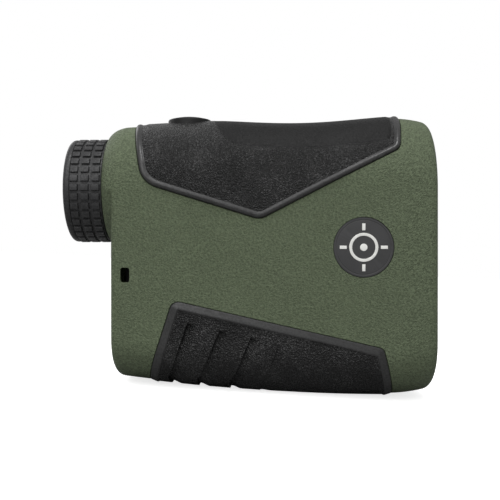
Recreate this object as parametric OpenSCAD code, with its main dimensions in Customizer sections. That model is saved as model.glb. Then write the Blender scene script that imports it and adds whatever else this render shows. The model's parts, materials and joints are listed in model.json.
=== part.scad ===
// Handheld laser rangefinder. Millimetres, +X is the way it looks, +Z is up, +Y is its left-hand side.
// The origin is on the plane under its sole, below the middle of its length and thickness.

/* [Body] */
// Overall length, from the rim of the eyecup to the front edge of the housing
overall_length = 100; // [98:0.5:102]
// Thickness across the side grips
body_thickness = 41; // [40:0.5:42]
// Height of the housing crown near the front, above the lowest point of the sole
crown_height = 77.7; // [77:0.1:78.5]
// Depth of the finger scoop in the crown, ahead of the power button
scoop = 1.5; // [0:0.1:1.8]
// Wall thickness of the two housing shells
wall = 2.4; // [2.2:0.1:2.6]
// How far the rubber grips stand proud of the housing
grip_proud = 0.5; // [0.3:0.1:0.6]
// How deep the rubber grips sit in the housing
grip_seat = 1; // [0.8:0.1:1.1]

/* [Eyepiece] */
// Height of the viewing axis
optic_z = 57.5; // [57:0.1:58]
// Outside diameter of the knurled focus ring
ring_d = 29.3; // [28.8:0.1:29.6]
// Number of bumps around the focus ring
knurl_count = 36; // [24:2:40]
// Axial travel of the ocular either way from its middle
ocular_travel = 1.2; // [0.8:0.1:1.4]

/* [Laser channel] */
// Height of the laser axis
laser_z = 22; // [21:0.5:23]
// Diameter of the laser lens
laser_lens_d = 18; // [16:0.5:18]
// Diameter of the objective lens
objective_d = 24; // [22:0.5:24]

/* [Controls] */
// Diameter of the power button on the crown
power_d = 12.3; // [11.5:0.1:12.5]
// Travel of the power button
power_travel = 0.8; // [0.5:0.1:0.8]
// Diameter of the mode button on the left-hand side
mode_d = 9; // [8:0.5:10]
// Travel of the mode button
mode_travel = 0.6; // [0.4:0.1:0.6]
// Diameter of the side badges
badge_d = 15.6; // [14:0.2:17]

/* [Battery] */
// Diameter of the CR2 cell
cell_d = 15.6; // [15:0.1:15.8]
// Length of the CR2 cell
cell_l = 27; // [26:0.5:27]

/* [Hidden] */
$fn = 96;

// Ends of the housing
front_x = overall_length / 2;
eye_x = -overall_length / 2;
rear_x = front_x - 85.8;
half_w = body_thickness / 2 - grip_proud;

// Crown and belly lines of the housing
crown_x = 40.3;
scoop_x = -10.3;
belly_x = 37.3;
belly_z = 0.55;
arch_h = 19.5;
rear_round = 1.6;
front_round = 2;
taper_x = 38.3;

// Sole: a flat land on the underside grip that rises gently towards the rear
sole_x = 39.3;
sole_rise = 0.0575;

// Gaps
gap = 0.15;
seam = 0.24;
thin = 0.01;
far = 200;

// Section counts of the lofted surfaces
arch_steps = 10;
long_steps = 9;

// Eyepiece
ring_r = ring_d / 2;
knurl_rise = 0.35;
collar_x = rear_x + 2.8;
collar_low = 15.7;
collar_end_r = 13.9;
collar_end = eye_x + 10;
barrel_r = 12.6;
bore_r = 11.7;
ring_front = collar_end - 0.2;
ring_back = eye_x + 1.9;

// Objective and laser ports
port_r = objective_d / 2 + 1.5;
laser_r = laser_lens_d / 2 + 1.3;
bezel_x = front_x - 6.5;
bezel_t = 3;

// Controls
power_x = -16.9;
power_top = 78.5;
mode_x = -8;
mode_z = 38;
badge_x = 30.3;
badge_z = 41.3;
badge_t = 0.8;

// Battery compartment and its door
cell_z = 24.5;
rear_wall = 2.8;
door_w = 22;
door_low = 13;
door_high = 37.5;
door_t = 2;
hinge_x = rear_x + 1.4;
hinge_r = 1.3;
pin_r = 0.6;
door_face = rear_x + 0.2;
door_in = door_face + door_t + 0.01;

// Lanyard slot through the right rear corner
slot_x = -33.1;
slot_w = 2.4;
slot_z = 32.1;
slot_h = 3.9;
slot_in = 5.5;

// Circuit board beside the battery, and the posts that hold the shells together
board_y = 11.6;
board_t = 1.6;
post_at = [[30.3, 38.4], [-24, 39.4], [6, 12]];
board_screw_at = [[-18, 12.5], [36, 12.5], [14, 39], [-10, 20]];

// Distance that an edge of radius r has drawn in at a place d beyond where it starts
function edge_in(d, r) = d <= 0 ? 0 : r - sqrt(max(0, r * r - min(d, r) * min(d, r)));

function end_in(x) = edge_in(x - (front_x - front_round), front_round)
    + edge_in((rear_x + rear_round) - x, rear_round);

function past(x, start, span) = x <= start ? 0 : pow((x - start) / span, 2);

// Depth of the finger scoop at x: nothing at either end of it, deepest in the middle
function scoop_z(x) = let (t = (x - scoop_x) / (crown_x - scoop_x))
    t <= 0 || t >= 1 ? 0 : scoop * pow(sin(180 * t), 1.3);

function top_z(x) = crown_height - 0.0004 * pow(crown_x - x, 2) * (x < crown_x ? 1 : 0)
    - 1.6 * past(x, crown_x, 10) - scoop_z(x);

function bottom_z(x) = belly_z + 0.0009 * pow(belly_x - x, 2) * (x < belly_x ? 1 : 0)
    + 1.7 * past(x, belly_x + 1, 12);

function side_y(x) = half_w - 1.2 * past(x, taper_x, 12);

function belly_h(x) = 10 + 3 * (x - rear_x) / (front_x - rear_x);

// One closed section of the housing at x, moved out by o (in when negative)
function section(x, o) =
    let (e = o - end_in(x), w = side_y(x) + e, zt = top_z(x) + e, zb = bottom_z(x) - e,
        ht = arch_h - scoop_z(x) + e, hb = belly_h(x) + e)
    concat(
        [for (i = [0:arch_steps * 2]) let (a = 180 * i / (arch_steps * 2))
            [x, w * cos(a), zt - ht + ht * sin(a)]],
        [for (i = [0:arch_steps * 2]) let (a = 180 * i / (arch_steps * 2), p = 2 / 2.4)
            [x, -w * sign(cos(a)) * pow(abs(cos(a)), p), zb + hb - hb * pow(sin(a), p)]]);

// Places of the sections: close together in the rounded ends, evenly spaced between
function stations() = concat(
    [for (a = [0, 30, 60, 90]) rear_x + rear_round * (1 - cos(a))],
    [for (i = [1:long_steps]) let (u = i / (long_steps + 0.4))
        rear_x + rear_round + (front_x - front_round - rear_x - rear_round) * u],
    [for (a = [90, 60, 30, 0]) front_x - front_round * (1 - cos(a))]);

// The housing's outer form as a closed solid, moved out by o, between its own ends moved by ends
module form(o, ends = 0) {
    xs = stations();
    n = len(xs);
    k = len(section(0, 0));
    mid = (front_x + rear_x) / 2;
    stretch = 1 + 2 * ends / (front_x - rear_x);
    rings = [for (x = xs) [for (q = section(x, o)) [mid + (q[0] - mid) * stretch, q[1], q[2]]]];
    polyhedron(
        points = [for (r = rings) each r],
        faces = concat(
            [[for (j = [0:k - 1]) j]],
            [for (i = [0:n - 2], j = [0:k - 1]) let (m = (j + 1) % k)
                [i * k + j, (i + 1) * k + j, (i + 1) * k + m, i * k + m]],
            [[for (j = [k - 1:-1:0]) (n - 1) * k + j]]),
        convexity = 4);
}

// Direction from p to q, of length 1
function toward(p, q) = (q - p) / norm(q - p);

// Outline through the corners [x, z, r], each rounded to its own radius r
function rounded(c, steps = 6) = [for (i = [0:len(c) - 1])
    let (
        n = len(c), q = [c[i][0], c[i][1]], r = c[i][2],
        a = toward(q, [c[(i + n - 1) % n][0], c[(i + n - 1) % n][1]]),
        b = toward(q, [c[(i + 1) % n][0], c[(i + 1) % n][1]]),
        half = acos(a * b) / 2, o = q + (a + b) / norm(a + b) * r / sin(half),
        from = atan2(q[1] + a[1] * r / tan(half) - o[1], q[0] + a[0] * r / tan(half) - o[0]),
        to = atan2(q[1] + b[1] * r / tan(half) - o[1], q[0] + b[0] * r / tan(half) - o[0]),
        turn = to - from > 180 ? to - from - 360 : to - from < -180 ? to - from + 360 : to - from)
    each r == 0 ? [q] : [for (k = [0:steps]) let (t = from + turn * k / steps) o + r * [cos(t), sin(t)]]];

// Outlines of the two rubber grips, seen from the side: [x, z, corner radius]
top_outline = rounded([[-33.6, 82, 0], [-30.9, 74.4, 3], [-27.4, 58.2, 7], [3.4, 48.6, 4],
    [40.1, 67.5, 3], [42.1, 82, 0]]);
bottom_outline = rounded([[-29.2, -3, 0], [-19.4, 27.4, 2.2], [35.4, 15, 1.5], [40.2, -3, 0]]);

// A side outline carried right through the body
module through(outline, grow = 0)
    rotate([90, 0, 0]) linear_extrude(far, center = true) offset(delta = grow) polygon(outline);

// Children drawn along +Z, turned to lie along +X at height z from place x
module along_x(x, z) translate([x, 0, z]) rotate([0, 90, 0]) children();

// Children drawn along +Z, turned to lie along +Y at x, z from place y
module along_y(x, y, z) translate([x, y, z]) rotate([-90, 0, 0]) children();

module tube(r, bore, h) difference() {
    cylinder(r = r, h = h);
    translate([0, 0, -1]) cylinder(r = bore, h = h + 2);
}

// The half of space on one side: side = -1 is the right-hand side
module half_space(side) translate([-far / 2, side > 0 ? seam / 2 : -far - seam / 2, -far / 2]) cube(far);

// Centre of the crown arch where the collar leaves it, above the viewing axis
function arch_lift() = top_z(collar_x) - arch_h - optic_z;

// Point at angle a on the outline where the collar leaves the housing: the crown arch above, and a circle
// round the viewing axis below, with a smooth change between them
function collar_foot(a) = let (s = sin(a), over = s < 0 ? 1 - pow(-s, 0.7) : 1)
    [(collar_low + (half_w - collar_low) * over) * cos(a),
        s >= 0 ? arch_lift() + arch_h * s : collar_low * s + arch_lift() * over];

// Section of the collar at x: its foot drawn in by a share 1 - k towards the circle at its end
function collar_ring(x, k, sides) = [for (j = [0:sides - 1]) let (a = 360 * j / sides,
    p = collar_end_r * [cos(a), sin(a)] * (1 - k) + collar_foot(a) * k) [x, p[0], p[1]]];

// The domed collar that carries the eyepiece: the crown arch drawn in to a circle round the viewing axis
module collar() {
    steps = 7;
    sides = 40;
    rings = concat(
        [collar_ring(collar_x + 1, 0.7, sides)],
        [for (i = [0:steps]) let (a = 90 * i / steps)
            collar_ring(collar_x - (collar_x - collar_end) * sin(a), cos(a), sides)]);
    translate([0, 0, optic_z]) polyhedron(
        points = [for (r = rings) each r],
        faces = concat(
            [[for (j = [sides - 1:-1:0]) j]],
            [for (i = [0:steps], j = [0:sides - 1]) let (m = (j + 1) % sides)
                [i * sides + j, i * sides + m, (i + 1) * sides + m, (i + 1) * sides + j]],
            [[for (j = [0:sides - 1]) (steps + 1) * sides + j]]),
        convexity = 4);
}

// Outer form of the housing with the seats for the grips sunk in, before it is hollowed
module outer_body() {
    difference() {
        form(0);
        through(top_outline, gap);
        through(bottom_outline, gap);
    }
    form(-grip_seat - 0.05);
}

mouth = wall + 0.8;

module cavity() {
    form(-wall, -rear_wall);
    intersection() {
        form(-mouth, 3);
        translate([front_x - 8, -far / 2, -far / 2]) cube(far);
    }
}

// Ribs and posts inside the shells, cut back to the housing's own form
module inner_ribs() intersection() {
    form(-grip_seat - 0.2);
    union() {
        for (p = post_at) along_y(p[0], -half_w, p[1]) cylinder(r = 2.6, h = 2 * half_w);
        for (p = board_screw_at) along_y(p[0], board_y + board_t + thin, p[1]) cylinder(r = 2.2, h = half_w);
        translate([power_x, 0, 71.9]) cylinder(r = 8.7, h = 10);
        for (s = [-1, 1]) translate([power_x - 2.5, s > 0 ? 6.4 : -26.4, 64.9]) cube([8, 20, 1.5]);
        translate([-34.5, -half_w, slot_z - 2]) cube([5.8, 6.7, slot_h + 4]);
    }
}

module housing_body() {
    difference() {
        union() {
            outer_body();
            collar();
        }
        cavity();
    }
    inner_ribs();
}

module shell(side) difference() {
    intersection() {
        housing_body();
        half_space(side);
    }
    along_x(collar_end - 1, optic_z) cylinder(r = barrel_r + 0.03, h = 12);
    along_x(rear_x - 0.9, optic_z) cylinder(r = barrel_r + 1.1, h = 1.2);
    translate([power_x, 0, 60]) cylinder(r = power_d / 2 + gap, h = 30);
    door_opening();
    along_y(hinge_x, -door_w / 2 - 1.7, door_low) cylinder(r = pin_r + 0.02, h = door_w + 3.4);
    along_y(badge_x, side * (half_w - badge_t - 0.05), badge_z)
        mirror([0, 0, side < 0 ? 1 : 0]) cylinder(r = badge_d / 2 + 0.1, h = 5);
    if (side > 0) {
        for (p = post_at) {
            along_y(p[0], -1, p[1]) cylinder(r = 1.15, h = half_w + 3);
            along_y(p[0], 17.15, p[1]) cylinder(r = 2.2, h = 5);
        }
        for (p = board_screw_at) along_y(p[0], board_y, p[1]) cylinder(r = 0.8, h = 5.5);
        along_y(mode_x, board_y + 3, mode_z) cylinder(r = mode_d / 2 + gap, h = 10);
    } else {
        for (p = post_at) along_y(p[0], -8, p[1]) cylinder(r = 1, h = 9);
        translate([slot_x, -half_w - 1, slot_z]) cube([slot_w, slot_in + 1, slot_h]);
        translate([rear_x - 1, -half_w + slot_in - slot_w, slot_z])
            cube([slot_x + slot_w - rear_x + 1, slot_w, slot_h]);
    }
}

module door_opening() translate([rear_x - 1, -door_w / 2 - 0.2, door_low - hinge_r - 0.2])
    cube([rear_wall + 1, door_w + 0.4, door_high - door_low + hinge_r + 0.45]);

module right_shell() color("#545e4b") shell(-1);
module left_shell() color("#545e4b") shell(1);

// Thin seal between the two shells, inside the line where they meet
module shell_gasket() color("#2a2a2a") difference() {
    intersection() {
        form(-grip_seat - 0.25, -1);
        cube([far, seam - 0.02, far], center = true);
    }
    form(-wall + thin * 5, -rear_wall + thin * 5);
    along_x(rear_x - 5, optic_z) cylinder(r = barrel_r + 1.2, h = 12);
    translate([power_x, 0, 60]) cylinder(r = 9, h = 30);
    door_opening();
    translate([front_x - 8, -1, -1]) cube(far);
}

// Rubber saddle over the crown
module top_grip() color("#2b2b2b") difference() {
    intersection() {
        form(grip_proud);
        through(top_outline);
    }
    form(-grip_seat);
    translate([power_x, 0, 60]) cylinder(r = power_d / 2 + 0.2, h = 30);
}

// Rubber grip that wraps under the body and ends in the flat sole
module bottom_grip() color("#2b2b2b") difference() {
    intersection() {
        form(grip_proud);
        through(bottom_outline);
    }
    form(-grip_seat);
    translate([sole_x, 0, 0]) rotate([0, atan(sole_rise), 0]) translate([-far, -far / 2, -far])
        cube([2 * far, far, far]);
}

module badge(side) color("#3b3b3c") along_y(badge_x, side * (half_w - badge_t), badge_z)
    mirror([0, 0, side < 0 ? 1 : 0]) cylinder(r = badge_d / 2, h = badge_t - 0.12);

module right_badge() badge(-1);
module left_badge() badge(1);

// Aiming mark: a ring, four ticks and a centre dot laid on the badge
module mark(side) color("#d8d8d4") along_y(badge_x, side * (half_w - 0.12), badge_z)
    mirror([0, 0, side < 0 ? 1 : 0]) {
        tube(badge_d * 0.24, badge_d * 0.19, 0.12);
        cylinder(r = badge_d * 0.04, h = 0.12);
        for (a = [0:90:270]) rotate([0, 0, a]) translate([badge_d * 0.28, -0.4, 0])
            cube([badge_d * 0.1, 0.8, 0.12]);
    }

module right_mark() mark(-1);
module left_mark() mark(1);

module screw(r, head_r, head_h, l) {
    translate([0, 0, -l]) cylinder(r = r, h = l);
    difference() {
        cylinder(r = head_r, h = head_h);
        translate([0, 0, head_h / 2]) cylinder(r = head_r * 0.45, h = head_h, $fn = 6);
    }
}

module housing_screws() color("#8a8d90") for (p = post_at)
    along_y(p[0], 17.2, p[1]) screw(1, 2, 1.4, 24);

// Black plate that closes the front and holds the two lens tubes
module front_bezel() color("#1c1c1d") difference() {
    intersection() {
        form(-mouth - 0.1, 3);
        translate([bezel_x, -far / 2, -far / 2]) cube([bezel_t, far, far]);
    }
    along_x(bezel_x - 1, optic_z) cylinder(r = port_r + 0.05, h = bezel_t + 2);
    along_x(bezel_x - 1, laser_z) cylinder(r = laser_r + 0.05, h = bezel_t + 2);
}

// A lens of diameter d, thickness t in the middle, and surface radii r1 behind and r2 in front
module lens(d, t, r1, r2) intersection() {
    translate([0, 0, -t / 2]) cylinder(d = d, h = t);
    translate([0, 0, r1 - t / 2]) sphere(r = r1, $fn = 180);
    translate([0, 0, t / 2 - r2]) sphere(r = r2, $fn = 180);
}

cell_back = 18;
lens_x = bezel_x - 1.2;
tube_front = bezel_x + bezel_t + 0.8;

module objective_cell() color("#202021") along_x(cell_back, optic_z) difference() {
    cylinder(r = port_r, h = tube_front - cell_back);
    translate([0, 0, -1]) cylinder(r = port_r - 3, h = far);
    translate([0, 0, lens_x - 2.4 - cell_back]) cylinder(r = objective_d / 2 + 0.05, h = far);
}

module objective_lens() color("#5d7680") along_x(lens_x, optic_z) lens(objective_d, 4.6, 60, 44);

module objective_retainer() color("#18181a") along_x(lens_x + 2.35, optic_z)
    tube(objective_d / 2 + 0.02, objective_d / 2 - 1, 1.6);

laser_back = 14.7;

module laser_tube() color("#202021") along_x(laser_back, laser_z) difference() {
    cylinder(r = laser_r, h = tube_front - laser_back);
    translate([0, 0, -1]) cylinder(r = 2.85, h = far);
    translate([0, 0, 2.3]) cylinder(r = laser_r - 2.2, h = far);
    translate([0, 0, lens_x - 2 - laser_back]) cylinder(r = laser_lens_d / 2 + 0.05, h = far);
}

module laser_lens() color("#6a4a52") along_x(lens_x, laser_z) lens(laser_lens_d, 3.9, 30, 40);

module laser_retainer() color("#18181a") along_x(lens_x + 2, laser_z)
    tube(laser_lens_d / 2 + 0.02, laser_lens_d / 2 - 1, 1.6);

module laser_diode() color("#b8a25a") {
    along_x(laser_back - 1.2, laser_z) cylinder(r = 4.2, h = 1.15);
    along_x(laser_back - 1.2, laser_z) cylinder(r = 2.8, h = 5);
    for (y = [-1.2, 1.2]) along_x(laser_back - 4.6, laser_z) translate([0, y, 0]) cylinder(r = 0.25, h = 3.6);
}

module laser_board() color("#1f5a36") difference() {
    translate([laser_back - 2.8, -8.5, laser_z - 8.5]) cube([1.55, 17, 17]);
    for (y = [-1.2, 1.2]) along_x(laser_back - 5, laser_z) translate([0, y, 0]) cylinder(r = 0.3, h = 4);
}

prism_w = 20.6;

module prism(outline) translate([0, prism_w / 2, optic_z]) rotate([90, 0, 0])
    linear_extrude(prism_w) polygon(outline);

module prism_front() color("#b9d3da")
    prism([[14, -11.4], [14, 11.5], [9, 11.5], [1.3, -11.4]]);

module prism_rear() color("#b9d3da")
    prism([[-8, -9], [-8, 9], [-2.5, 11.5], [8.6, 11.5], [0.9, -11.4], [-5.5, -11.4]]);

module prism_holder() color("#2e3032") difference() {
    translate([-8.6, -prism_w / 2 - 1.2, optic_z - 13.2]) cube([23.2, prism_w + 2.4, 24.9]);
    translate([-20, -prism_w / 2 - 0.02, optic_z - 11.45]) cube([60, prism_w + 0.04, 40]);
    translate([0, 0, optic_z - 20]) cylinder(r = 3.4, h = 20);
    for (x = [-2.4, 8.4]) along_y(x, -20, optic_z) cylinder(r = 4, h = 40);
}

module detector() color("#a8adb2") translate([0, 0, 38.3]) {
    cylinder(r = 4, h = 5.6);
    cylinder(r = 4.6, h = 0.8);
    for (x = [-1.5, 1.5]) translate([x, 0, -2.6]) cylinder(r = 0.25, h = 2.7);
}

module detector_board() color("#1f5a36") difference() {
    translate([-6.5, -6.5, 36.9]) cube([13, 13, 1.35]);
    for (x = [-1.5, 1.5]) translate([x, 0, 36]) cylinder(r = 0.3, h = 3);
}

display_x = -22;

module display_frame() color("#242628") difference() {
    translate([display_x - 1.2, -8.5, optic_z - 8.5]) cube([2.4, 17, 17]);
    translate([display_x - 0.7, -7.6, optic_z - 7.6]) cube([4, 15.2, 15.2]);
    along_x(display_x - 3, optic_z) cylinder(r = 6.6, h = 6);
}

module display_plate() color("#c4d0cf")
    translate([display_x - 0.65, -7.5, optic_z - 7.5]) cube([1.3, 15, 15]);

module main_board() color("#1f5a36") difference() {
    translate([-27.5, board_y, 10.5]) cube([67, board_t, 32]);
    for (p = post_at) along_y(p[0], board_y - 1, p[1]) cylinder(r = 2.8, h = board_t + 2);
    for (p = board_screw_at) along_y(p[0], board_y - 1, p[1]) cylinder(r = 0.9, h = board_t + 2);
}

// Packages on the outer face of the board: [x, z, width, height, thickness]
chips = [[20, 28, 9, 9, 1.2], [4, 25, 6, 8, 1.2], [22, 14, 5, 4, 1], [-16, 26, 5, 5, 1.6],
    [-2, 14, 7, 4, 1.8]];

module board_chips() color("#26282a") for (c = chips)
    translate([c[0] - c[2] / 2, board_y + board_t + thin, c[1] - c[3] / 2]) cube([c[2], c[4], c[3]]);

module board_screws() color("#8a8d90") for (p = board_screw_at)
    along_y(p[0], board_y - thin, p[1]) mirror([0, 0, 1]) screw(0.78, 1.5, 1, 5);

box_back = rear_x + rear_wall + 0.05;
box_front = -0.6;

// Cup that holds the cell, with a flange behind the rear wall of the housing
module battery_box() color("#2b2d2f") difference() {
    union() {
        along_x(box_back, cell_z) cylinder(r = cell_d / 2 + 1.7, h = box_front - box_back);
        translate([box_back, -12.7, door_low - 1]) cube([1.25, 25.4, 25.6]);
    }
    along_x(box_back - 1, cell_z) cylinder(r = cell_d / 2 + 0.4, h = box_front - box_back - 0.4);
}

cell_back_x = rear_x + 2.75;

module battery() color("#c9ccd0") along_x(cell_back_x, cell_z) {
    cylinder(d = cell_d, h = cell_l - 0.8);
    translate([0, 0, cell_l - 0.8]) cylinder(r = 3.2, h = 0.8);
}

// Conical contact spring: its wire is swept along the coil
spring_turns = 3.5;
wire_r = 0.35;

spring_rings = 56;
spring_x = cell_back_x + cell_l + wire_r + 0.05;
spring_l = box_front - 1.65 - 2 * wire_r - spring_x + wire_r;

function coil_turn(u) = 360 * spring_turns * u;

function coil_r(u) = 3.2 + 3.2 * u;

// Ring of points around the spring's wire, a share u of the way along it
function wire_ring(u) = let (a = coil_turn(u), c = [spring_l * u, coil_r(u) * cos(a), coil_r(u) * sin(a)])
    [for (k = [0:5]) c + wire_r * [cos(60 * k), sin(60 * k) * cos(a), sin(60 * k) * sin(a)]];

module battery_spring() color("#c7c9cc") translate([spring_x, 0, cell_z]) polyhedron(
    points = [for (i = [0:spring_rings]) each wire_ring(i / spring_rings)],
    faces = concat([[for (k = [0:5]) k]],
        [for (i = [0:spring_rings - 1], k = [0:5]) let (m = (k + 1) % 6)
            [i * 6 + k, (i + 1) * 6 + k, (i + 1) * 6 + m, i * 6 + m]],
        [[for (k = [5:-1:0]) spring_rings * 6 + k]]));

// Plate and leaf on the inside of the battery door that meet the cell
module door_contact() color("#c9a24e") along_x(door_in, cell_z) cylinder(r = 5, h = 0.5);

module battery_door() color("#4e5845") {
    difference() {
        union() {
            along_y(hinge_x, -door_w / 2, door_low) cylinder(r = hinge_r, h = door_w);
            translate([door_face, 0, 0]) rotate([90, 0, 90]) linear_extrude(door_t) polygon(rounded([
                [-door_w / 2, door_low, 0], [door_w / 2, door_low, 0],
                [door_w / 2, door_high, 1.5], [-door_w / 2, door_high, 1.5]]));
        }
        along_y(hinge_x, -door_w, door_low) cylinder(r = pin_r + 0.03, h = 2 * door_w);
        translate([door_face - 0.6, -4, door_high - 1.2]) cube([1.2, 8, 2]);
    }
}

module door_gasket() color("#1d1d1d") along_x(door_in, cell_z)
    tube(cell_d / 2 + 1.6, cell_d / 2 + 0.6, 0.5);

module door_hinge_pin() color("#a9adb1")
    along_y(hinge_x, -door_w / 2 - 1.6, door_low) cylinder(r = pin_r, h = door_w + 3.2);

module eyepiece_barrel() color("#1d1e20") difference() {
    union() {
        along_x(ring_back + 1.05, optic_z) cylinder(r = barrel_r, h = 20.1);
        along_x(box_back, optic_z) cylinder(r = barrel_r + 1.1, h = 1.4);
    }
    along_x(eye_x, optic_z) cylinder(r = bore_r, h = 40);
}

module barrel_o_ring() color("#111111") along_x(rear_x - 0.3, optic_z)
    rotate_extrude() translate([barrel_r + 0.55, 0]) circle(r = 0.5, $fn = 24);

module retaining_ring() color("#9a9da1") along_x(ring_back + 0.3, optic_z)
    tube(barrel_r + 0.9, bore_r + 0.05, 0.74);

knurl_w = 2.15;
knurl_pitch = 2.78;

// Knurled ring that turns on the barrel: rows of raised bumps in three bands
module focus_ring() color("#38383a") along_x(ring_back, optic_z) difference() {
    union() {
        cylinder(r = ring_r - knurl_rise, h = ring_front - ring_back);
        difference() {
            for (i = [0:2]) translate([0, 0, 0.1 + i * knurl_pitch]) cylinder(r = ring_r, h = knurl_w);
            for (k = [0:knurl_count - 1]) rotate([0, 0, 360 / knurl_count * k])
                translate([ring_r - knurl_rise, -0.33, -1]) cube([2, 0.66, 12]);
        }
    }
    translate([0, 0, -1]) cylinder(r = barrel_r + 0.1, h = 20);
    translate([0, 0, -1]) cylinder(r = barrel_r + 1.1, h = 2.2);
}

// Soft rim that the eye rests against
module eyecup() color("#303032") along_x(0, optic_z) rotate_extrude() polygon(rounded([
    [10, ring_back - 0.02, 0], [ring_r - 0.2, ring_back - 0.02, 0.3], [ring_r - 0.1, eye_x, 1.2],
    [12.4, eye_x, 0.9], [10, ring_back - 0.9, 0.3]]));

ocular_back = ring_back + 1.5;
ocular_front = ocular_back + 18.1;

module ocular_tube() color("#202124") along_x(ocular_back, optic_z) difference() {
    cylinder(r = bore_r - 0.05, h = ocular_front - ocular_back);
    translate([0, 0, -1]) cylinder(r = 9.2, h = far);
    translate([0, 0, -1]) cylinder(r = 10.05, h = 5.6);
    translate([0, 0, ocular_front - ocular_back - 5.6]) cylinder(r = 10.05, h = 10);
}

module eye_lens() color("#5d7680") along_x(ocular_back + 2.5, optic_z) lens(20, 4, 26, 26);
module field_lens() color("#5d7680") along_x(ocular_front - 2.9, optic_z) lens(20, 3.4, 40, 32);

power_flange = 71;

// Domed button on the crown: flange, body, dome and the stem that works the switch
module power_button() color("#333334") translate([power_x, 0, 0]) {
    difference() {
        union() {
            translate([0, 0, power_flange]) cylinder(r = power_d / 2 + 1, h = 0.8);
            cylinder_to(power_d / 2, power_flange, power_top - 1.1);
            intersection() {
                cylinder_to(power_d / 2, power_top - 1.1, power_top);
                translate([0, 0, power_top - 17.8]) sphere(r = 17.8, $fn = 180);
            }
        }
        translate([0, 0, power_flange - 1]) cylinder(r = power_d / 2 - 1.4, h = 5);
    }
    cylinder_to(1.6, power_flange - 0.65, power_flange + 4.5);
}

// A cylinder of radius r from height a to height b
module cylinder_to(r, a, b) translate([0, 0, a]) cylinder(r = r, h = b - a);

board_z = 66.5;

module button_board() color("#1f5a36")
    translate([power_x - 8.6, -8, board_z]) cube([16, 16, 1]);

// Body of a small push switch: a box with a well for its plunger
module switch_body(h) difference() {
    translate([-3, -3, 0]) cube([6, 6, h]);
    translate([0, 0, 0.6]) cylinder(r = 1.6, h = h);
}

module power_switch() color("#4b4e52") translate([power_x, 0, board_z + 1 + thin]) switch_body(2);

module power_switch_stem() color("#c8452f") translate([power_x, 0, 0])
    cylinder_to(1.5, board_z + 2.55, power_flange - 0.7);

// Round button on the left-hand side
module mode_button() color("#333334") along_y(mode_x, 0, mode_z) {
    cylinder_to(mode_d / 2 + 0.9, half_w - wall - 1.1, half_w - wall - 0.25);
    intersection() {
        cylinder_to(mode_d / 2, half_w - wall - 0.3, half_w + 0.35);
        translate([0, 0, half_w + 0.35 - 25]) sphere(r = 25, $fn = 180);
    }
    cylinder_to(1.2, board_y + board_t + 2.5, half_w - wall - 1);
}

module mode_switch() color("#4b4e52")
    along_y(mode_x, board_y + board_t + thin, mode_z) switch_body(1.7);

module mode_switch_stem() color("#c8452f") along_y(mode_x, 0, mode_z)
    cylinder_to(1.5, board_y + board_t + 1.3, board_y + board_t + 2.45);

right_shell();
left_shell();
shell_gasket();
top_grip();
bottom_grip();
right_badge();
left_badge();
right_mark();
left_mark();
housing_screws();
front_bezel();
objective_cell();
objective_lens();
objective_retainer();
laser_tube();
laser_lens();
laser_retainer();
laser_diode();
laser_board();
prism_front();
prism_rear();
prism_holder();
detector();
detector_board();
display_frame();
display_plate();
main_board();
board_chips();
board_screws();
battery_box();
battery();
battery_spring();
door_contact();
battery_door();
door_gasket();
door_hinge_pin();
eyepiece_barrel();
barrel_o_ring();
retaining_ring();
focus_ring();
eyecup();
ocular_tube();
field_lens();
eye_lens();
power_button();
power_switch();
power_switch_stem();
button_board();
mode_button();
mode_switch();
mode_switch_stem();
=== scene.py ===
"""Laser rangefinder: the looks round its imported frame. Shapes are in millimetres until a mesh is made."""
import json
import math

import bmesh
import bpy
import numpy as np
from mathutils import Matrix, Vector, geometry


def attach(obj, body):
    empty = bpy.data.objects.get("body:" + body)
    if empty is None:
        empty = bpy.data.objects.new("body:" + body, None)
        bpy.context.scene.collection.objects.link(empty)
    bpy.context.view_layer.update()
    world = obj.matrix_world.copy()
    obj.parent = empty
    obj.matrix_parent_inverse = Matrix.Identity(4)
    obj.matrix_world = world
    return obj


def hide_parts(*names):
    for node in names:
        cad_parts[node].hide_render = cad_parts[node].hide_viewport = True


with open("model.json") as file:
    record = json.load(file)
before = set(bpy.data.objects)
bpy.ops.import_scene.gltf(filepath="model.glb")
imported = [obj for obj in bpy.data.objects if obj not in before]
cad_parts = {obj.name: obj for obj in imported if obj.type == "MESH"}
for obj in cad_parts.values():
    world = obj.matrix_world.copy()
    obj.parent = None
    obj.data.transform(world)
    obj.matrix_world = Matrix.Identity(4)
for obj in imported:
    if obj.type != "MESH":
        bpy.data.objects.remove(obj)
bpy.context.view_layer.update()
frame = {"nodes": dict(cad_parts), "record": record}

MM = 0.001

# Housing: the same driving dimensions and curves as the frame's shells
FRONT, REAR = 50.0, -35.8
HALF_W, ARCH_H = 20.0, 19.5
CROWN_X, CROWN_Z = 40.3, 77.7
BELLY_X, BELLY_Z = 37.3, 0.55
SCOOP_X, SCOOP = -10.3, 1.5
REAR_ROUND, FRONT_ROUND = 1.6, 2.0
BELLY_POWER = 2.15
OPTIC_Z, LASER_Z = 57.5, 22.0
COLLAR_X, COLLAR_LOW, COLLAR_END_R, COLLAR_END = -33.0, 15.7, 13.9, -39.3
BARREL_BORE = 12.75
MOUTH = 3.2
SEAM = 0.06
SOLE_X, SOLE_RISE = 39.3, 0.0575
POWER_X, POWER_R, POWER_TOP = -16.9, 6.15, 78.5
MODE_X, MODE_Z, MODE_R = -8.0, 38.0, 4.5
BADGE_X, BADGE_Z, BADGE_R = 30.3, 41.3, 7.8
SLOT = (-33.1, -30.7, 32.1, 36.0)
DOOR_W, DOOR_LOW, DOOR_HIGH = 22.0, 13.0, 37.5
SCREW_X, SCREW_Z = -24.0, 39.4


# ---------------------------------------------------------------- curves of the housing

def past(x, start, span):
    return np.where(x > start, ((x - start) / span) ** 2, 0.0)


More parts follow.
